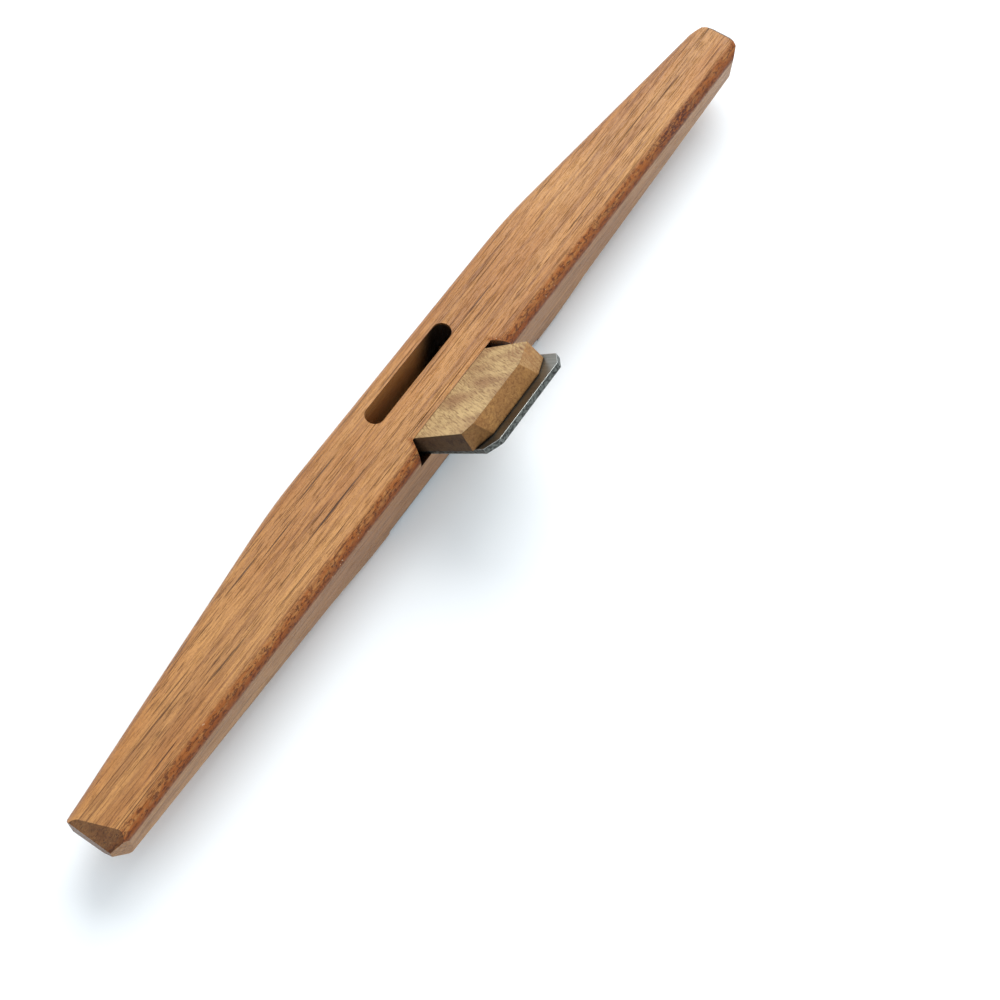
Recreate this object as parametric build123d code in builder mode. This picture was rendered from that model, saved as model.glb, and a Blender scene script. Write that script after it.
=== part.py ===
"""A wooden spokeshave: a tapered hardwood bar with a steel sole plate, a slanted iron and a wedge.

The frame: X runs along the handles, +Y is the side that the iron and the wedge stand out of, and
+Z is up. The origin is the middle of the sole plate's flat face.
"""
from build123d import *
import os
from math import cos, radians, sin, tan

os.makedirs("parts", exist_ok=True)

# ------------------------------------------------------------------ driving dimensions, mm
# the stock
length = 280.0
length_shift = -0.8         # the middle of the bar from the middle of the plate
width = 23.2
height = 19.0
end_width = 14.3            # what is left of the width at the tip of a handle
end_height = 12.1           # what is left of the height there
front_bend = 52.0           # from the middle to where the front face turns in
sole_bend = 50.0            # from the middle to where the sole turns up
bend_ease = 13.0            # each bend is eased over this much on both sides
edge_radius = 3.0           # the long edges that the hands hold
crisp_radius = 0.5          # the sole's long edges beside the plate
crisp_reach = 38.0          # from the middle to where the sole's edges begin to soften
soften_over = 24.0          # the length over which they reach the full radius
sections = 44               # of the bar, for its loft
beyond = 1.0                # how far a cut starts outside the wood

# the sole plate and its screws
plate_length = 69.0
plate_thickness = 1.5
plate_gap = 0.3             # between each end of the plate and the shoulder of its recess
plate_edge = 0.15           # the small bevel round the plate's face
screw_spacing = 52.6
screw_head = 6.5
screw_shank = 3.0
screw_length = 14.0
screw_point = 3.0
head_gap = 0.12             # between the rim of a screw's head and the mouth of its countersink
recess_span = 2.7           # the cross recess in the head
recess_slot = 0.65
recess_depth = 1.2

# the iron
bed_angle = 46.8
iron_width = 32.4
iron_length = 50.3
iron_thickness = 1.6
iron_bevel = 27.0
iron_clip = 3.4             # its two cut corners
edge_forward = 5.6          # the cutting edge, in front of the middle of the plate
edge_below = 1.4            # and below the plate's face

# the mouth, the throat and the chip slot
mouth_width = 33.3
mouth_front = 6.1           # the mouth's front edge, in front of the middle of the plate
mouth_rear = -0.1
throat_width = 35.2
cheek_flare = 33.0          # how far the throat's cheeks open behind the bridge, in degrees
bridge_rear = 6.95          # the rear edge of the bridge, behind the middle of the plate
slot_length = 34.8
slot_shift = 2.2            # the slot was cut a little off the middle of the iron
slot_front = 7.5
slot_rear = 2.2
cavity_floor = 4.0          # the chip cavity narrows to the mouth from here down
running_gap = 0.08          # between the bed, the iron, the wedge and the bridge

# the wedge
wedge_taper = 3.5
wedge_width = 31.6
wedge_shift = 1.1
wedge_from = 10.5           # its inner end, up the iron from the cutting edge
wedge_to = 46.5             # its outer end
wedge_tip_cut = 3.2         # the inner end is cut back by this much on the iron's side
wedge_clip_along = 3.1      # its cut corners, along its sides
wedge_clip_low = 5.8        # across its end, beside the iron
wedge_clip_near = 3.3       # across its end on top, at the +X corner
wedge_clip_far = 8.4        # and at the other, which is cut slantwise

# ------------------------------------------------------------------ what follows from them
half = length / 2
rear = width / 2
plate_half = plate_length / 2
throat_top = throat_width / 2

up_iron = Vector(0, cos(radians(bed_angle)), sin(radians(bed_angle)))
off_iron = Vector(0, -sin(radians(bed_angle)), cos(radians(bed_angle)))
cutting_edge = Vector(0, -edge_forward, -edge_below)

# local x runs up the iron and local y away from its upper face
iron_side = Plane(origin=cutting_edge, x_dir=up_iron, z_dir=(1, 0, 0))
# local x runs across the iron and local y up it
iron_face = Plane(origin=cutting_edge, x_dir=(1, 0, 0), z_dir=off_iron)


def on_iron(along, off):
    """(y, z) of a point so far up the iron and so far off its upper face."""
    point = cutting_edge + up_iron * along + off_iron * off
    return (point.Y, point.Z)


def up_and_off(y, z):
    """How far up the iron, and how far off its upper face, the point (y, z) is."""
    reach = Vector(0, y, z) - cutting_edge
    return reach.dot(up_iron), reach.dot(off_iron)


# the bridge's lower wall lies at the wedge's taper and ends in the bridge's rear edge
bridge_along, bridge_off = up_and_off(bridge_rear, height)


def bridge_wall(along):
    """How far the bridge's lower wall stands off the iron, so far up it."""
    return bridge_off + (along - bridge_along) * tan(radians(wedge_taper))


def past_bend(distance, bend):
    """How far a line that turns at bend has run beyond it, with the turn eased."""
    share = (distance - bend + bend_ease) / (2 * bend_ease)
    if share <= 0:
        return 0.0
    if share >= 1:
        return distance - bend
    return 2 * bend_ease * (share**3 - share**4 / 2)


def front_at(x):
    slope = (width - end_width) / (half - front_bend)
    return rear - width + slope * past_bend(abs(x - length_shift), front_bend)


def sole_at(x):
    slope = (height - end_height) / (half - sole_bend)
    return slope * past_bend(abs(x - length_shift), sole_bend)


def sole_radius_at(x):
    share = min(max((abs(x - length_shift) - crisp_reach) / soften_over, 0.0), 1.0)
    return crisp_radius + (edge_radius - crisp_radius) * share * share * (3 - 2 * share)


def end_facet(end, face, across, back, inset, turn=0.0):
    """The plane of a facet between the tip of a handle and one of its long faces.

    end is +1 or -1, face the long face's outward normal, across a point of that face, back how
    far the facet starts from the tip, inset how far it has gone in at the tip, and turn a twist
    about the face's normal in degrees.
    """
    tip = Vector(end, 0, 0)
    outward = Vector(*face)
    start = Vector(length_shift + end * (half - back), across[0], across[1])
    normal = (tip * inset + outward * back).normalized()
    return Plane(origin=start, z_dir=normal.rotate(Axis((0, 0, 0), face), turn))


# ------------------------------------------------------------------ the stock
end_front = front_at(length_shift + half)
end_sole = sole_at(length_shift + half)
end_middle_y = (end_front + rear) / 2
end_middle_z = (end_sole + height) / 2

with BuildPart() as stock:
    # one smooth bar through sections that stand all along it
    for step in range(sections + 1):
        x = length_shift + length * (step / sections - 0.5)
        with BuildSketch(Plane.YZ.offset(x)) as across:
            with BuildLine():
                Polyline(
                    (front_at(x), sole_at(x)),
                    (rear, sole_at(x)),
                    (rear, height),
                    (front_at(x), height),
                    close=True,
                )
            make_face()
            fillet(across.vertices().group_by(Axis.Y)[-1], edge_radius)
            fillet(across.vertices().group_by(Axis.Y)[0], sole_radius_at(x))
    loft()
    # the tips: cut with a knife at the +X end, worked rounder at the other
    for facet in (
        end_facet(1, (0, 0, 1), (end_middle_y, height), 3.3, 2.0, 20),
        end_facet(1, (0, 1, 0), (rear, end_middle_z), 4.6, 1.8),
        end_facet(1, (0, -1, 0), (end_front, end_middle_z), 0.7, 0.7),
        end_facet(1, (0, 0, -1), (end_middle_y, end_sole), 7.0, 3.4),
        end_facet(1, (0, cos(radians(45)), -sin(radians(45))), (rear, end_sole), 4.5, 5.8),
        end_facet(-1, (0, 0, 1), (end_middle_y, height), 0.9, 0.6),
        end_facet(-1, (0, 1, 0), (rear, end_middle_z), 4.6, 2.0),
        end_facet(-1, (0, 1, 0), (rear, end_middle_z), 2.4, 4.2),
        end_facet(-1, (0, -1, 0), (end_front, end_middle_z), 5.0, 2.4),
        end_facet(-1, (0, -1, 0), (end_front, end_middle_z), 2.6, 4.6),
        end_facet(-1, (0, 0, -1), (end_middle_y, end_sole), 6.0, 4.0),
    ):
        split(bisect_by=facet, keep=Keep.BOTTOM)
    # the recess for the sole plate
    with BuildSketch(Plane.XY.offset(-beyond)):
        Rectangle(plate_length + 2 * plate_gap, 2 * width)
    extrude(amount=beyond + plate_thickness, mode=Mode.SUBTRACT)
    # the throat, from the chip cavity over the mouth up and out at the rear
    bed_off = -iron_thickness - running_gap
    with BuildSketch(Plane.YZ.offset(-throat_top)):
        with BuildLine():
            cavity_top = height - (bridge_rear + slot_rear) * tan(radians(bed_angle + wedge_taper))
            bed_rise = (mouth_rear - on_iron(0, bed_off)[0]) * tan(radians(bed_angle))
            Polyline(
                (bridge_rear, height),
                (-slot_rear, cavity_top),
                (-slot_front, cavity_top),
                (-slot_front, cavity_floor),
                (-mouth_front, plate_thickness + 0.5),
                (mouth_rear, plate_thickness + 0.5),
                (mouth_rear, on_iron(0, bed_off)[1] + bed_rise),
                on_iron(2 * iron_length, bed_off),
                (on_iron(2 * iron_length, bed_off)[0], height + 2 * iron_length),
                (bridge_rear, height + 2 * iron_length),
                close=True,
            )
        make_face()
    extrude(amount=throat_width, mode=Mode.SUBTRACT)
    # the cheeks, opened behind the bridge
    with BuildSketch(iron_face.offset(bed_off)):
        with BuildLine():
            flare_from = (bridge_rear - on_iron(0, bed_off)[0]) / up_iron.Y
            flare_to = (rear + beyond - on_iron(0, bed_off)[0]) / up_iron.Y
            opened = throat_top + (rear + beyond - bridge_rear) * tan(radians(cheek_flare))
            Polyline(
                (-throat_top, flare_from),
                (throat_top, flare_from),
                (opened, flare_to),
                (-opened, flare_to),
                close=True,
            )
        make_face()
    extrude(amount=height, dir=(0, 0, 1), mode=Mode.SUBTRACT)
    # the mouth, through the sole into the cavity
    with BuildSketch(Plane.XY.offset(-beyond)):
        with Locations((0, (mouth_rear - mouth_front) / 2)):
            Rectangle(mouth_width, mouth_rear + mouth_front)
    extrude(amount=beyond + cavity_floor, mode=Mode.SUBTRACT)
    # the chip slot in the top
    with BuildSketch(Plane.XY.offset(height + beyond)):
        with Locations((slot_shift, -(slot_front + slot_rear) / 2)):
            SlotOverall(slot_length, slot_front - slot_rear)
    extrude(amount=cavity_floor - height - beyond, mode=Mode.SUBTRACT)
    # the screws' countersunk pilot holes, which the shanks fill
    for side in (-1, 1):
        with BuildSketch(Plane.XY):
            with Locations((side * screw_spacing / 2, 0)):
                Circle(screw_head / 2 + head_gap)
        extrude(
            amount=(screw_head - screw_shank) / 2 + head_gap,
            taper=45,
            mode=Mode.SUBTRACT,
        )
        with BuildSketch(Plane.XY):
            with Locations((side * screw_spacing / 2, 0)):
                Circle(screw_shank / 2)
        extrude(amount=screw_length + 1, mode=Mode.SUBTRACT)
stock.part.label = "stock"
export_step(stock.part, "parts/stock.step")

# ------------------------------------------------------------------ the sole plate
with BuildPart() as sole_plate:
    with BuildSketch(Plane.XY):
        Rectangle(plate_length, width - 2 * plate_gap)
    extrude(amount=plate_thickness)
    chamfer(sole_plate.faces().sort_by(Axis.Z)[0].edges(), plate_edge)
    # the mouth slot, square at the front and bevelled under the iron at the rear
    with BuildSketch(Plane.XY):
        with Locations((0, (mouth_rear - mouth_front) / 2)):
            Rectangle(mouth_width, mouth_rear + mouth_front)
    extrude(amount=plate_thickness, mode=Mode.SUBTRACT)
    # the countersunk holes
    for side in (-1, 1):
        with BuildSketch(Plane.XY):
            with Locations((side * screw_spacing / 2, 0)):
                Circle(screw_head / 2 + head_gap)
        extrude(amount=plate_thickness, taper=45, mode=Mode.SUBTRACT)
sole_plate.part.label = "sole_plate"
export_step(sole_plate.part, "parts/sole_plate.step")

# ------------------------------------------------------------------ the iron
with BuildPart() as iron:
    with BuildSketch(iron_face):
        with BuildLine():
            Polyline(
                (-iron_width / 2, 0),
                (iron_width / 2, 0),
                (iron_width / 2, iron_length - iron_clip),
                (iron_width / 2 - iron_clip, iron_length),
                (-iron_width / 2 + iron_clip, iron_length),
                (-iron_width / 2, iron_length - iron_clip),
                close=True,
            )
        make_face()
    extrude(amount=-iron_thickness)
    # the bevel, ground on the side that faces the bed
    heel = iron_thickness / tan(radians(iron_bevel))
    with BuildSketch(iron_side.offset(-iron_width)):
        with BuildLine():
            Polyline((0, 0), (heel, -iron_thickness), (-heel, -iron_thickness), close=True)
        make_face()
    extrude(amount=2 * iron_width, mode=Mode.SUBTRACT)
iron.part.label = "iron"
export_step(iron.part, "parts/iron.step")

# ------------------------------------------------------------------ the wedge
with BuildPart() as wedge:
    with BuildSketch(iron_side.offset(wedge_shift - wedge_width / 2)):
        with BuildLine():
            Polyline(
                (wedge_from + wedge_tip_cut, running_gap),
                (wedge_to, running_gap),
                (wedge_to, bridge_wall(wedge_to) - running_gap),
                (wedge_from, bridge_wall(wedge_from) - running_gap),
                (wedge_from, running_gap + 1),
                close=True,
            )
        make_face()
    extrude(amount=wedge_width)
    for side, clip_top in ((1, wedge_clip_near), (-1, wedge_clip_far)):
        corner = wedge_shift + side * wedge_width / 2
        top_end = bridge_wall(wedge_to)
        on_side = Vector(corner, *on_iron(wedge_to - wedge_clip_along, 0))
        low = Vector(corner - side * wedge_clip_low, *on_iron(wedge_to, 0))
        top = Vector(corner - side * clip_top, *on_iron(wedge_to, top_end))
        cut = (low - on_side).cross(top - on_side) * side
        split(bisect_by=Plane(origin=low, z_dir=cut), keep=Keep.BOTTOM)
wedge.part.label = "wedge"
export_step(wedge.part, "parts/wedge.step")

# ------------------------------------------------------------------ the screws
for name, side in (("screw_left", -1), ("screw_right", 1)):
    with BuildPart() as screw:
        # the head, the shank and the point, turned in one
        with BuildSketch(Plane.XZ):
            with BuildLine():
                Polyline(
                    (0, 0),
                    (screw_head / 2, 0),
                    (screw_head / 2, head_gap),
                    (screw_shank / 2, (screw_head - screw_shank) / 2 + head_gap),
                    (screw_shank / 2, screw_length - screw_point),
                    (0, screw_length),
                    close=True,
                )
            make_face()
        revolve(axis=Axis.Z)
        # the cross recess
        with BuildSketch(Plane.XY):
            Rectangle(recess_span, recess_slot, rotation=45)
            Rectangle(recess_slot, recess_span, rotation=45)
        extrude(amount=recess_depth, taper=12, mode=Mode.SUBTRACT)
    placed = screw.part.moved(Location((side * screw_spacing / 2, 0, 0)))
    placed.label = name
    export_step(placed, "parts/" + name + ".step")
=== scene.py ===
# %% [markdown]
# This lesson finishes a small wooden spokeshave, a plane for curves: one bar of wood with a handle
# at each end, a slanted iron held by a wedge, and a steel plate screwed to the sole. Its pieces
# could be modelled again here, but a CAD model already gives each one its real size and place in
# metres: X runs along the handles, +Y is the side where the iron and the wedge stand out, and +Z is
# up from the sole. So this script adds only what the eye needs: wood and steel finishes, a floor,
# soft light and a camera.

import math

import bpy
from mathutils import Matrix, Vector


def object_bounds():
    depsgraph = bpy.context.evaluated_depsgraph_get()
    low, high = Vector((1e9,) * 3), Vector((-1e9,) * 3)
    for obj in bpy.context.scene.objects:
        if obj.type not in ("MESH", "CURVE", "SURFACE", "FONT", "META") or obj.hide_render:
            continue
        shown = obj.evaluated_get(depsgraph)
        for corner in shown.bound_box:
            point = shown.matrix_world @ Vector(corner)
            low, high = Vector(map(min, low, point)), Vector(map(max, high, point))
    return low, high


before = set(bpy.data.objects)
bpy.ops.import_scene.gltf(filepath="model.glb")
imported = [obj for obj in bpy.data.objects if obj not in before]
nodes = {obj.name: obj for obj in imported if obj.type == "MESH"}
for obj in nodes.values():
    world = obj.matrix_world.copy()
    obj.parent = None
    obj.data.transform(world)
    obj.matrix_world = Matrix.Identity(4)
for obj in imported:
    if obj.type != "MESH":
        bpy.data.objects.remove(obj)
cad_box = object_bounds()
print("CAD nodes:", sorted(nodes))

# %% [markdown]
# Every finish here is a graph of shader nodes, and a graph is easier to read as sums than as boxes
# and wires. The nodes could be added one call at a time, but a mask of ten nodes would then fill a
# screen. Wrapping a socket in a small class lets Python's own + - * / add the Math nodes, so a mask
# is written as one would write it on paper.


# %% A socket that can be used in sums
class Value:
    def __init__(self, finish, socket):
        self.finish = finish
        self.socket = socket

    def math(self, operation, *others):
        sockets = dict(enumerate((self,) + others))
        return self.finish.node("ShaderNodeMath", {"operation": operation}, sockets)[0]

    def __add__(self, other):
        return self.math("ADD", other)

    __radd__ = __add__

    def __sub__(self, other):
        return self.math("SUBTRACT", other)

    def __rsub__(self, other):
        return (self * -1) + other

    def __mul__(self, other):
        return self.math("MULTIPLY", other)

    __rmul__ = __mul__

    def __truediv__(self, other):
        return self.math("DIVIDE", other)

    def __rtruediv__(self, other):
        return (self**-1) * other

    def __pow__(self, other):
        return self.math("POWER", other)

    def __rpow__(self, other):
        return self.finish.node("ShaderNodeMath", {"operation": "POWER"}, {0: other, 1: self})[0]

    def between(self, low, high):
        """0 up to low, 1 from high on, and a smooth step from one to the other."""
        settings = {"interpolation_type": "SMOOTHSTEP"}
        sockets = {"Value": self, "From Min": low, "From Max": high}
        return self.finish.node("ShaderNodeMapRange", settings, sockets)[0]

    def dot(self, other):
        """For two directions: 1 if they agree, 0 if they are square, -1 if they are opposite."""
        settings = {"operation": "DOT_PRODUCT"}
        return self.finish.node("ShaderNodeVectorMath", settings, {0: self, 1: other})[1]


print("A Value adds a Math node for each step of a sum")

# %% [markdown]
# A finish is one shader with a graph behind a few of its sockets. What is the same all over a piece
# is set on the shader itself, and only what changes over its surface is linked. Each kind of node
# could have its own function, but one method that takes a node's type, settings and sockets serves
# them all. Colours are blended by a Mix node, because a Math node would turn a colour grey.

# %% A finish
MIX_FACTOR, MIX_FIRST, MIX_SECOND = 0, 6, 7  # the Mix node's inputs when it blends colours
MIX_RESULT = 2  # and its output


class Finish:
    def __init__(self, name, **constants):
        self.material = bpy.data.materials.new(name)
        self.material.use_nodes = True
        self.tree = self.material.node_tree
        self.shader = self.tree.nodes["Principled BSDF"]
        for socket, value in constants.items():
            self.shader.inputs[socket.replace("_", " ")].default_value = value

    def node(self, kind, settings=None, sockets=None):
        """Adds a node and returns its outputs as Values."""
        node = self.tree.nodes.new(kind)
        for name, value in (settings or {}).items():
            setattr(node, name, value)
        for key, value in (sockets or {}).items():
            if isinstance(value, Value):
                self.tree.links.new(value.socket, node.inputs[key])
            else:
                node.inputs[key].default_value = value
        return [Value(self, output) for output in node.outputs]

    def mix(self, amount, first, second):
        """Goes from the first colour to the second by amount."""
        sockets = {MIX_FACTOR: amount, MIX_FIRST: first, MIX_SECOND: second}
        return self.node("ShaderNodeMix", {"data_type": "RGBA"}, sockets)[MIX_RESULT]

    def feed(self, socket, value):
        self.tree.links.new(value.socket, self.shader.inputs[socket])

    def wear(self, pieces):
        for piece in pieces:
            piece.data.materials.clear()
            piece.data.materials.append(self.material)


print("A Finish makes one material")

# %% [markdown]
# Tones are given as red, green and blue from 0 to 255, but a shader works in linear light. The
# linear numbers could be typed in, but nobody can see a tone in them. One helper turns the first
# into the second, so every tone below can be read as a screen colour.


# %% Screen colours to linear light
def linear(level):
    """One of the three, by the usual curve of a screen."""
    return ((level / 255 + 0.055) / 1.055) ** 2.4 if level > 10 else level / 255 / 12.92


def rgb(red, green, blue):
    return (linear(red), linear(green), linear(blue), 1.0)


print("Honey brown in linear light:", [round(c, 3) for c in rgb(176, 116, 62)])

# %% [markdown]
# A pattern has to be read from some place on the piece. The pieces could be unwrapped flat, but
# that cuts them into islands, and the grain would break at every seam. The point on the piece in
# its own metres needs no unwrapping: the pattern fills space, as grain fills a block of wood, and
# it meets itself at every edge.

# %% Places and noise
TEXTURE_NORMAL, TEXTURE_POINT = 1, 3  # outputs of the Texture Coordinate node
MM = 1000  # millimetres in a metre


def moved(where, scale=(1, 1, 1), turn=(0, 0, 0), shift=(0, 0, 0)):
    """A place that is stretched, turned and shifted for a pattern."""
    sockets = {"Vector": where, "Scale": scale, "Rotation": turn, "Location": shift}
    return where.finish.node("ShaderNodeMapping", {}, sockets)[0]


def place(finish, scale=(1, 1, 1), turn=(0, 0, 0), shift=(0, 0, 0)):
    """The point on the piece in metres, or in other units where scale says so."""
    return moved(finish.node("ShaderNodeTexCoord")[TEXTURE_POINT], scale, turn, shift)


def in_millimetres(finish):
    return place(finish, (MM, MM, MM))


def axes(where):
    """The three numbers of a place, along X, Y and Z."""
    return where.finish.node("ShaderNodeSeparateXYZ", {}, {"Vector": where})


def noise(where, scale, detail=4.0, roughness=0.5):
    sockets = {"Vector": where, "Scale": scale, "Detail": detail, "Roughness": roughness}
    return where.finish.node("ShaderNodeTexNoise", {}, sockets)[0]


print("Patterns are read from the point on the piece, at", MM, "mm to the metre")

# %% [markdown]
# The stock is one bar of a close, oily hardwood. Wood is a stack of growth rings, and a face shows
# lines where it cuts through them. Lines could be drawn on each face, but they wouldn't agree where
# two faces meet. A solid pattern does: rings round a pith line off to one side of the bar give long
# lines on the top and the rear, and arcs on the end grain.


# %% Growth rings
def grain_noise(finish, along, across, detail=3.0, roughness=0.5, shift=(0, 0, 0)):
    """Noise whose blobs are so many millimetres long and thick, stretched along the bar."""
    scale = (MM / along, MM / across, MM / across)
    return noise(place(finish, scale, shift=shift), 1.0, detail, roughness)


def rings(finish, pith, spacing, wander):
    """0 to 1 over each growth ring, rising slowly and falling fast like early and late wood."""
    point = axes(place(finish))
    side = (point[1] - pith[0]) * MM
    rise = (point[2] - pith[1]) * MM
    radius = (side * side + rise * rise) ** 0.5
    sway = grain_noise(finish, 90, 14, detail=2.0) * wander
    return (radius / spacing + sway).math("FRACT")


stock_wood = Finish("stock_wood", Roughness=0.4, IOR=1.4)
ring_spacing = 3.4  # mm
ring = rings(stock_wood, pith=(-0.030, -0.060), spacing=ring_spacing, wander=1.6)
late_wood = ring.between(0.3, 0.95)
print("Growth rings are", ring_spacing, "mm apart")

# %% [markdown]
# Between the rings, the bar shows clouds, streaks, fibres, specks and pores. One noise with much
# detail could stand for all of them, but its lines would have one shape at every size. Each has its
# own length and thickness, so each gets its own stretched noise. Pores are short dark tubes along
# the bar, twenty to sixty times as long as thick, so the end grain shows them as dots.

# %% Streaks, fibres and pores
cloud = grain_noise(stock_wood, 60, 9)
band = grain_noise(stock_wood, 75, 1.7, roughness=0.55, shift=(3, 5, 1))
streak = grain_noise(stock_wood, 28, 0.55, detail=4.0, roughness=0.6, shift=(6, 2, 8))
fibre = grain_noise(stock_wood, 4, 0.18, roughness=0.7)
speck = grain_noise(stock_wood, 0.6, 0.25, detail=2.0, roughness=0.7, shift=(5, 1, 7))
fine_pores = grain_noise(stock_wood, 5, 0.26, detail=1.5, shift=(7, 2, 4)).between(0.54, 0.7)
crowd = grain_noise(stock_wood, 40, 4, shift=(2, 8, 5)).between(0.45, 0.65)
long_pores = grain_noise(stock_wood, 26, 0.42, detail=2.0, shift=(1, 9, 3)).between(0.6, 0.72)
print("Eight layers of grain")

# %% [markdown]
# The bare wood runs from pale straw to honey, with browner lines. The layers could be added up and
# coloured by one ramp, but then every dark line would have the same hue. Laying each on the last in
# its own tone keeps the pores nearly black and the fibres a warm brown.

# %% The stock's bare tones
pale = rgb(198, 143, 82)
honey = rgb(178, 120, 62)
brown = rgb(120, 71, 32)
colour = stock_wood.mix(cloud.between(0.35, 0.68), pale, honey)
colour = stock_wood.mix(late_wood * 0.2, colour, brown)
colour = stock_wood.mix(band.between(0.5, 0.72) * 0.45, colour, brown)
colour = stock_wood.mix(streak.between(0.46, 0.7) * 0.58, colour, rgb(104, 58, 28))
colour = stock_wood.mix(fibre.between(0.42, 0.72) * 0.34, colour, rgb(104, 60, 32))
colour = stock_wood.mix(speck.between(0.48, 0.74) * 0.42, colour, rgb(90, 52, 30))
colour = stock_wood.mix(fine_pores * (crowd * 0.5 + 0.18), colour, rgb(74, 40, 22))
colour = stock_wood.mix(long_pores * (crowd * 0.5 + 0.45), colour, rgb(44, 22, 14))
print("The bare wood goes from", [round(c, 2) for c in pale[:3]], "down to near black in its pores")

# %% [markdown]
# Hands and knives round the long edges, and oil and dirt stay there; the rounding also turns from
# the light, and part of its colour below is painted shade. Such an edge could be painted by hand,
# but the surface already tells where it is: its normal points up on the top, back on the rear face,
# and in between on the rounding. So a mask of those two directions finds the edge, and it stops at
# the throat, where the edge was cut away.


# %% Which way a surface faces
def facing(finish, direction):
    """How far the surface faces a direction of the piece: 1 straight at it, -1 straight away."""
    return finish.node("ShaderNodeTexCoord")[TEXTURE_NORMAL].dot(direction)


def rounded_edges(finish, radius, samples=6):
    """A normal that turns gently over every edge, as if the edge had this radius in metres."""
    return finish.node("ShaderNodeBevel", {"samples": samples}, {"Radius": radius})[0]


throat_wall = (16.8, 18.0)  # mm either side of the middle
rear_half = (1.5, 2.5)  # mm behind the middle line
point = axes(in_millimetres(stock_wood))
beside_throat = point[0].math("ABSOLUTE").between(*throat_wall)
to_rear = facing(stock_wood, (0, 1, 0))
to_sky = facing(stock_wood, (0, 0, 1))
near_edge = rounded_edges(stock_wood, 0.003, samples=8).dot((0, 1, 0))
rear_edge = near_edge.between(0.06, 0.4) * to_sky.between(0.02, 0.3)
rear_edge = rear_edge * beside_throat * point[1].between(*rear_half)
# Painted shade: a dark line where the rounding turns into the rear face.
lower_edge_shade = to_rear.between(0.6, 0.88) * to_sky.between(0.02, 0.25)
lower_edge_shade = lower_edge_shade * point[1].between(*rear_half)
front_edge = (to_rear * -1).between(0.2, 0.7) * to_sky.between(0.02, 0.4)
print("The worn edge starts", throat_wall[1], "mm from the middle of the tool")

# %% [markdown]
# The upper rear edge has taken the knocks. It is painted deeper and more orange than the flats,
# partly for its oily wear and partly as painted shade where the rounding turns from the light, and
# painted darkest where it meets the rear face, as painted shade. It is torn into little pits, with
# a few pale chips and one dark scar on the far handle. The pits could be cut into the mesh, but
# they are a tenth of a millimetre deep, so noise in the tone and in the relief is enough. All of it
# is held inside the edge's mask.

# %% The worn and shaded rear edge
scar_at = 106  # mm from the middle, on the far handle
patch = grain_noise(stock_wood, 5, 1.4, detail=4.0, roughness=0.7, shift=(4, 4, 4))
torn = grain_noise(stock_wood, 1.6, 0.6, detail=4.0, roughness=0.75, shift=(2, 6, 8))
pits = torn.between(0.53, 0.6) * (rear_edge * 0.98 + 0.02)
chips = grain_noise(stock_wood, 0.8, 0.6, detail=1.0, shift=(8, 8, 2)).between(0.73, 0.76)
chips = chips * rear_edge * cloud.between(0.5, 0.6)
scar = 1 - (point[0] + scar_at).math("ABSOLUTE").between(3, 14)
scar = scar * rear_edge * torn.between(0.42, 0.52)
# Partly oily wear and partly painted shade where the rounding turns from the light.
edge_tint_and_shade = rear_edge * (patch.between(0.42, 0.56) * 0.65 + 0.15)
colour = stock_wood.mix(edge_tint_and_shade, colour, rgb(150, 78, 14))
colour = stock_wood.mix(rear_edge * torn.between(0.3, 0.46) * 0.3, colour, rgb(136, 70, 16))
# Painted shade along the foot of the rounding.
colour = stock_wood.mix(lower_edge_shade * 0.7, colour, rgb(126, 58, 4))
colour = stock_wood.mix(front_edge * 0.2, colour, rgb(130, 84, 52))
colour = stock_wood.mix(pits * 0.75, colour, rgb(84, 32, 6))
colour = stock_wood.mix(scar * 0.8, colour, rgb(76, 30, 18))
colour = stock_wood.mix(chips * 0.85, colour, rgb(236, 210, 176))
# Painted reflection: the rear face is greyed as if it mirrored the white sheet.
colour = stock_wood.mix(to_rear.between(0.9, 0.99) * 0.35, colour, rgb(122, 100, 82))
print("The scar is", scar_at, "mm from the middle")

# %% [markdown]
# Faces cut across the fibres drink the oil and turn dark. The chip slot's walls are painted
# lighter, as painted light where the softbox reaches them, and its far end and the throat are
# painted almost black, as painted shade deep in those hollows. Each of those walls could be given a
# material of its own, but the painted light and shade fade along them. Their places are known in
# millimetres, so soft-edged masks are built from the point itself.

# %% Where the stains and the painted light and shade are
slot_along = 2.2  # mm from the plate's middle towards the near handle
slot_front = 2.65  # mm in front of the middle line
throat_front = (2.5, 3.5)  # mm behind the middle line
end_grain = facing(stock_wood, (1, 0, 0)).math("ABSOLUTE").between(0.2, 0.6)
by_slot = 1 - (point[1] + slot_front).math("ABSOLUTE").between(5.0, 5.6)
in_slot = by_slot * (1 - (point[0] - slot_along).math("ABSOLUTE").between(17.45, 17.9))
in_slot = in_slot * point[2].between(2.5, 3.0) * (1 - point[2].between(18.2, 18.6))
slot_end_shade = (point[0] * -1).between(3.0, 12.0) * in_slot
by_throat = 1 - point[0].math("ABSOLUTE").between(20.5, 22.0)
in_throat = by_throat * (1 - by_slot) * (1 - to_rear.between(0.85, 0.95))
in_throat = in_throat * point[1].between(*throat_front)
throat_shade = in_throat * (1 - point[2].between(17.0, 18.2))
print("The chip slot is", slot_front, "mm in front of the middle line")

# %% [markdown]
# One long open pore runs along the bridge, between the slot and the throat. It could be a groove in
# the mesh, but it is a hair wide. Here it is a line at a set distance behind the middle, which the
# clouds push a little to and fro and the streaks break up.

# %% The long open pore
pore_line = 5.5  # mm behind the middle line
long_pore = 1 - (point[1] - pore_line + cloud * 0.7 - 0.35).math("ABSOLUTE").between(0.05, 0.22)
long_pore = long_pore * (1 - (point[0] + 3).math("ABSOLUTE").between(12, 20))
long_pore = long_pore * streak.between(0.3, 0.5)
print("The open pore is", pore_line, "mm behind the middle line")

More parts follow.
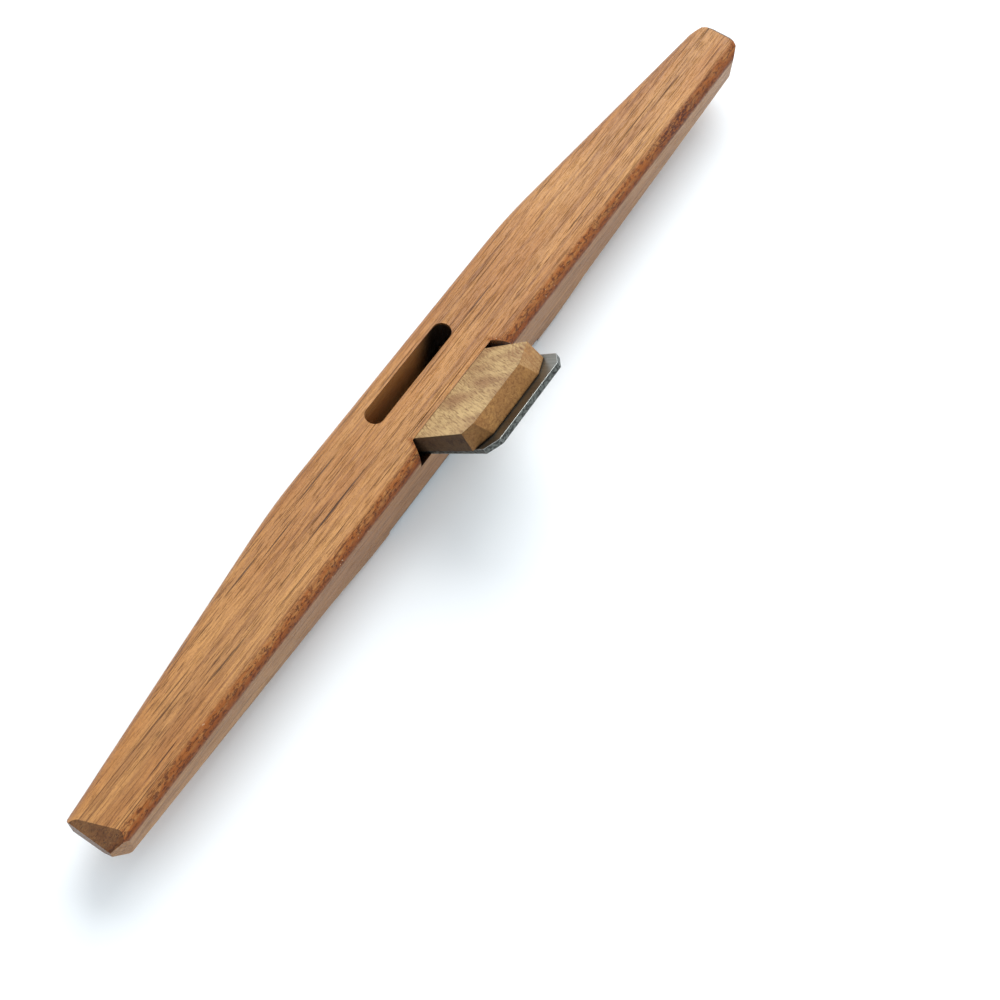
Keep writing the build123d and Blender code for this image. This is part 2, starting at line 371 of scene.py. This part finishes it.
# %% [markdown]
# Last come the stains, and painted shade in the corners. Corners and gaps get little light, so a
# mask of how little open sky a point sees darkens them as painted shade. Polish is uneven, and
# pores and pits catch no light, so they also change the roughness and the relief.


# %% The stock's stains, painted shade and surface
def crevice_shade(finish, distance):
    """1 in corners and gaps that little light reaches, 0 in the open."""
    sockets = {"Distance": distance}
    return 1 - finish.node("ShaderNodeAmbientOcclusion", {"samples": 6}, sockets)[1]


def relief(finish, height, depth, strength, normal=None):
    """Bends the normal as if height stood out by up to depth, in metres."""
    sockets = {"Strength": strength, "Distance": depth, "Height": height}
    if normal is not None:
        sockets["Normal"] = normal
    finish.feed("Normal", finish.node("ShaderNodeBump", {}, sockets)[0])


corner_shade = crevice_shade(stock_wood, 0.002).between(0.55, 0.95)
colour = stock_wood.mix(end_grain * 0.8, colour, rgb(66, 34, 12))
# Painted light: the slot's walls are lightened where the softbox reaches them.
colour = stock_wood.mix(in_slot * 0.5, colour, rgb(196, 140, 76))
# Painted shade: the slot's far end and the throat are painted near black.
colour = stock_wood.mix(slot_end_shade * 0.97, colour, rgb(10, 4, 3))
colour = stock_wood.mix(throat_shade * 0.9, colour, rgb(34, 10, 5))
colour = stock_wood.mix(long_pore * 0.75, colour, rgb(84, 32, 16))
# Painted shade: corners and gaps are darkened by how little open sky they see.
colour = stock_wood.mix(corner_shade * 0.6, colour, rgb(30, 12, 6))
stock_wood.feed("Base Color", colour)
polish = grain_noise(stock_wood, 30, 4, shift=(9, 1, 1))
dull = polish * 0.16 + fine_pores * 0.15 + speck * 0.1 + rear_edge * 0.25 + 0.28
stock_wood.feed("Roughness", dull)
height = fibre * 0.4 + speck * 0.35 - fine_pores * 0.5 - long_pores * 0.9 - pits * 1.6
height = height + patch * rear_edge * 1.6 + patch * 0.2 - long_pore * 1.0
relief(stock_wood, height, depth=0.00022, strength=0.75)
stock_wood.wear([nodes["stock"]])
print("The stock wears", len(stock_wood.tree.nodes), "nodes of wood")

# %% [markdown]
# The wedge is a lighter, softer wood, and its fibres run up the iron. The stock's grain could be
# used again in paler tones, but it would run across the wedge. So the point is first turned by the
# bed angle, then turned a little more for the slant of the grain, and only then stretched.

# %% The wedge's fibres
bed_angle = math.radians(46.8)
up_iron = (-bed_angle, 0, 0)
slant = 0.4  # radians between the fibres and the wedge's own length
wedge_wood = Finish("wedge_wood", Roughness=0.7, IOR=1.36)


def wedge_noise(along, across, detail=3.0, roughness=0.5, shift=(0, 0, 0), skew=0.0):
    """As grain_noise, with the fibres up the iron: the point is turned before it is stretched."""
    skewed = moved(place(wedge_wood, turn=up_iron), turn=(0, 0, skew))
    scale = (MM / across, MM / along, MM / across)
    return noise(moved(skewed, scale, shift=shift), 1.0, detail, roughness)


wedge_tone = wedge_noise(20, 6)
wedge_fibre = wedge_noise(9, 0.34, detail=4.0, roughness=0.7, skew=slant)
wedge_pores = wedge_noise(4.0, 0.24, detail=1.0, shift=(3, 3, 3), skew=slant).between(0.56, 0.7)
print("The wedge's fibres rise at", round(math.degrees(bed_angle), 1), "degrees")

# %% [markdown]
# The grain curls round a knot just off the wedge's far corner. The fibres could be bent by noise,
# but that has no centre. Rings round one point have, and they fade with distance, so that only the
# near grain curls.

# %% The wedge's curl and tones
knot_aside, knot_along = 21, 40  # mm, towards the far handle and up the wedge
point = axes(place(wedge_wood, turn=up_iron))
aside = point[0] * MM + knot_aside
along = point[1] * MM - knot_along
knot = (aside * aside + along * along * 1.6) ** 0.5
curl = (knot * 0.75 + wedge_tone * 1.2).math("FRACT").between(0.3, 0.95)
curl = curl * (1 - knot.between(9, 19))
colour = wedge_wood.mix(wedge_tone.between(0.35, 0.7), rgb(190, 160, 112), rgb(150, 114, 78))
colour = wedge_wood.mix(wedge_fibre.between(0.42, 0.66) * 0.55, colour, rgb(112, 78, 50))
colour = wedge_wood.mix(wedge_pores * 0.5, colour, rgb(104, 66, 38))
colour = wedge_wood.mix(curl * 0.55, colour, rgb(128, 84, 54))
print("The knot is", knot_along, "mm up the wedge")

# %% [markdown]
# The wedge's outer end is end grain: it drinks more oil and looks darker and speckled. The side
# towards the near handle faces away from the light and is painted dark, as painted shade. Both
# could be separate materials, but their edges are soft on the real thing, so masks of the way the
# surface faces are used again. Corners and gaps on the wedge get painted shade too.

# %% The wedge's end and its painted shade
up_fibre = facing(wedge_wood, (0, math.cos(bed_angle), math.sin(bed_angle)))
far_side = facing(wedge_wood, (-1, 0, 0)).between(0.3, 0.6)
cut_end = up_fibre.between(0.2, 0.8) * (1 - far_side * 0.75)
shaded_side = facing(wedge_wood, (1, 0, 0)).between(0.2, 0.95)
speckle = noise(in_millimetres(wedge_wood), 1.5, 4.0, 0.7)
blotch = noise(in_millimetres(wedge_wood), 0.45, 3.0, 0.6)
corner_shade = crevice_shade(wedge_wood, 0.001).between(0.25, 0.45)
colour = wedge_wood.mix(cut_end * 0.85, colour, rgb(158, 110, 58))
colour = wedge_wood.mix(cut_end * speckle.between(0.42, 0.66) * 0.6, colour, rgb(106, 66, 30))
colour = wedge_wood.mix(cut_end * blotch.between(0.5, 0.7) * 0.35, colour, rgb(196, 146, 82))
# Painted shade: the side towards the near handle, turned from the light, is painted near black.
colour = wedge_wood.mix(shaded_side * 0.9, colour, rgb(46, 22, 4))
colour = wedge_wood.mix(shaded_side * blotch.between(0.45, 0.65) * 0.7, colour, rgb(44, 24, 12))
# Painted shade in the wedge's corners and gaps.
colour = wedge_wood.mix(corner_shade * 0.9, colour, rgb(20, 10, 6))
wedge_wood.feed("Base Color", colour)
height = wedge_fibre * 0.6 - wedge_pores * 0.7 + speckle * cut_end * 0.8 - curl * 0.3
relief(wedge_wood, height, 0.0002, 0.6, normal=rounded_edges(wedge_wood, 0.0006))
wedge_wood.wear([nodes["wedge"]])
print("The wedge wears", len(wedge_wood.tree.nodes), "nodes of wood")

# %% [markdown]
# The iron is ground lengthwise, which leaves long fine scratches. An anisotropic shader could give
# their sheen, but the scratches themselves would be missing. Noise stretched very far along the
# blade shows them, and it also breaks up the roughness and gives a weak relief.


# %% The iron's ground faces
def scratches(where, scale, shift=(0, 0, 0)):
    """Noise drawn out into lines: the smallest number is the way the lines run."""
    return noise(moved(where, scale, shift=shift), 1.0, 3.0, 0.6)


iron_steel = Finish("iron_steel", Metallic=1.0, Roughness=0.35)
turned = place(iron_steel, turn=up_iron)
grind = scratches(turned, (4500, 40, 4500))
coarse = scratches(turned, (1200, 14, 1200), shift=(5, 5, 5))
off_iron = (0, -math.sin(bed_angle), math.cos(bed_angle))
face = facing(iron_steel, off_iron)
upper_face_reflection = face.between(0.5, 0.9)
colour = iron_steel.mix(grind.between(0.3, 0.7), rgb(176, 180, 176), rgb(214, 217, 212))
colour = iron_steel.mix(coarse.between(0.4, 0.7) * 0.35, colour, rgb(146, 151, 150))
# Painted reflection: the upper face is darkened as if it mirrored the dark wedge above it.
colour = iron_steel.mix(upper_face_reflection * 0.75, colour, rgb(98, 99, 93))
print("Fine scratches are", round(MM / 40), "mm long and", round(MM / 4500, 2), "mm wide")

# %% [markdown]
# Only the two broad faces and the bevel are ground. The sheared edges keep their black scale, and
# the arris between the two, the sharp line where they meet, is painted bright as a painted
# highlight. The arris could be a narrow chamfer, but it is finer than one. Where the rounded normal
# and the flat one disagree there is an edge, so their difference is the mask.


# %% The iron's sheared edges and painted arris highlight
def arris_mask(rounded):
    """1 on the line of an edge, 0 on the flats beside it."""
    flat = rounded.finish.node("ShaderNodeNewGeometry")[1]
    return (1 - rounded.dot(flat)).between(0.01, 0.12)


sheared = 1 - face.math("ABSOLUTE").between(0.2, 0.5)
scale_spots = noise(in_millimetres(iron_steel), 1.3, 4.0, 0.7)
black_scale = iron_steel.mix(scale_spots.between(0.4, 0.62), rgb(34, 34, 32), rgb(112, 116, 112))
colour = iron_steel.mix(sheared * 0.92, colour, black_scale)
rounded = rounded_edges(iron_steel, 0.00022)
# Painted highlight: the arris is painted bright.
colour = iron_steel.mix(arris_mask(rounded) * 0.85, colour, rgb(226, 229, 226))
corner_shade = crevice_shade(iron_steel, 0.002).between(0.2, 0.42)
# Painted shade: corners and the gap under the wedge are painted nearly black.
colour = iron_steel.mix(corner_shade * 0.95, colour, rgb(16, 12, 8))
iron_steel.feed("Base Color", colour)
iron_steel.feed("Roughness", grind * 0.25 + coarse * 0.1 + 0.15 + sheared * 0.2 + corner_shade * 0.4)
relief(iron_steel, grind, depth=0.00003, strength=0.25, normal=rounded)
iron_steel.wear([nodes["iron"]])
print("The iron wears", len(iron_steel.tree.nodes), "nodes of steel")

# %% [markdown]
# The sole plate was rubbed flat on fine paper and has a dull, finely mottled blue-grey, and its
# sawn edges are painted brighter as a painted highlight. It could share the iron's finish, but it
# has no grinding lines that can be told apart. A fine mottle with a faint rub at an angle is
# closer.

# %% The plate's satin steel
rub_angle = 0.5  # radians from the length of the tool
plate_steel = Finish("plate_steel", Metallic=1.0, Roughness=0.45)
mottle = noise(in_millimetres(plate_steel), 1.6, 5.0, 0.7)
haze = noise(in_millimetres(plate_steel), 0.12, 2.0, 0.5)
rub = scratches(place(plate_steel, turn=(0, 0, rub_angle)), (60, 3200, 3200))
rounded = rounded_edges(plate_steel, 0.0002)
colour = plate_steel.mix(mottle.between(0.35, 0.65), rgb(160, 168, 172), rgb(182, 188, 191))
colour = plate_steel.mix(haze.between(0.3, 0.7) * 0.3, colour, rgb(148, 157, 162))
colour = plate_steel.mix(rub.between(0.5, 0.75) * 0.3, colour, rgb(196, 203, 207))
# Painted highlight: the sawn edges are painted brighter.
colour = plate_steel.mix(arris_mask(rounded) * 0.7, colour, rgb(222, 228, 230))
plate_steel.feed("Base Color", colour)
plate_steel.feed("Roughness", mottle * 0.25 + rub * 0.1 + 0.25)
relief(plate_steel, rub, depth=0.00002, strength=0.2, normal=rounded)
plate_steel.wear([nodes["sole_plate"]])
print("The plate was rubbed at", round(math.degrees(rub_angle)), "degrees")

# %% [markdown]
# The screws are plated. Their flat heads were rubbed to nearly the plate's grey, but inside the
# cross recess, where nothing rubs, the plating is still bright and a little yellow. The recess
# could be picked face by face, but the flat head is simply what faces straight down.

# %% The screws' plating
screw_steel = Finish("screw_steel", Metallic=1.0, Roughness=0.35)
spots = noise(in_millimetres(screw_steel), 2.2, 3.0, 0.6)
flat_head = facing(screw_steel, (0, 0, -1)).between(0.6, 0.95)
colour = screw_steel.mix(spots.between(0.35, 0.65), rgb(160, 166, 168), rgb(196, 201, 202))
colour = screw_steel.mix(1 - flat_head, colour, rgb(214, 204, 160))
screw_steel.feed("Base Color", colour)
screw_steel.feed("Roughness", spots * 0.2 + 0.2)
screw_steel.feed("Normal", rounded_edges(screw_steel, 0.00015))
screw_steel.wear([nodes["screw_left"], nodes["screw_right"]])
print("Both screws are plated")

# %% [markdown]
# The tool lies on a plain white sheet. A curved backdrop could be made, but nothing of it would be
# seen from above, so one large flat square is enough. It is at the lowest point of the tool, which
# is the edge of the iron.

# %% Floor
reach = 6.0  # metres from the middle, far past what the camera sees
floor_height = cad_box[0][2]
floor_mesh = bpy.data.meshes.new("floor")
signs = [(-1, -1), (1, -1), (1, 1), (-1, 1)]
corners = [(x * reach, y * reach, floor_height) for x, y in signs]
floor_mesh.from_pydata(corners, [], [(0, 1, 2, 3)])
floor = bpy.data.objects.new("floor", floor_mesh)
bpy.context.scene.collection.objects.link(floor)
paper = Finish("paper", Base_Color=(0.88, 0.91, 0.93, 1), Roughness=0.9)
paper.wear([floor])
print("Floor at", round(floor_height * MM, 2), "mm")

# %% [markdown]
# The light is one soft box overhead, a little towards the front and the far end, in a pale room.
# Several lamps could be used, but their crossing shadows would show on the sheet. With one, the
# flat top has a broad sheen, the rounded edges turn away from it and keep their deep colour, and
# the rear face is lit by the white sheet.

# %% Light
world = bpy.data.worlds.new("studio")
bpy.context.scene.world = world
world.use_nodes = True
world.node_tree.nodes["Background"].inputs["Color"].default_value = (0.93, 0.97, 1.0, 1)
world.node_tree.nodes["Background"].inputs["Strength"].default_value = 0.95


def softbox(name, spot, aim, side, power):
    light = bpy.data.lights.new(name, "AREA")
    light.shape = "RECTANGLE"
    light.size = light.size_y = side
    light.energy = power
    lamp = bpy.data.objects.new(name, light)
    lamp.location = spot
    lamp.rotation_euler = (Vector(aim) - Vector(spot)).to_track_quat("-Z", "Y").to_euler()
    bpy.context.scene.collection.objects.link(lamp)


softbox("overhead", spot=(-1.2, -0.56, 1.36), aim=(0, 0, 0), side=1.4, power=29)
print("One softbox in a pale room")

# %% [markdown]
# The camera is a longish lens that looks down on the tool from behind its near handle. It could be
# aimed at a target by a constraint, but two directions say exactly how it is held: forward, and
# which way is up. The third, to the right, follows from them.

# %% Camera
lens = bpy.data.cameras.new("camera")
lens.sensor_width = 36.0
lens.lens = 60.62
lens.clip_start = 0.01
lens.clip_end = 50.0
camera = bpy.data.objects.new("camera", lens)
bpy.context.scene.collection.objects.link(camera)
spot = Vector((0.17984, 0.12123, 0.38615))
forward = Vector((-0.3916, -0.2130, -0.8951)).normalized()
up = Vector((-0.7399, -0.5053, 0.4440))
right = forward.cross(up).normalized()
up = right.cross(forward).normalized()
turn = Matrix((right, up, -forward)).transposed().to_4x4()
camera.matrix_world = Matrix.Translation(spot) @ turn
bpy.context.scene.camera = camera
bpy.context.scene.view_settings.view_transform = "Standard"
print("Camera is", round(camera.location.length, 3), "m from the plate")
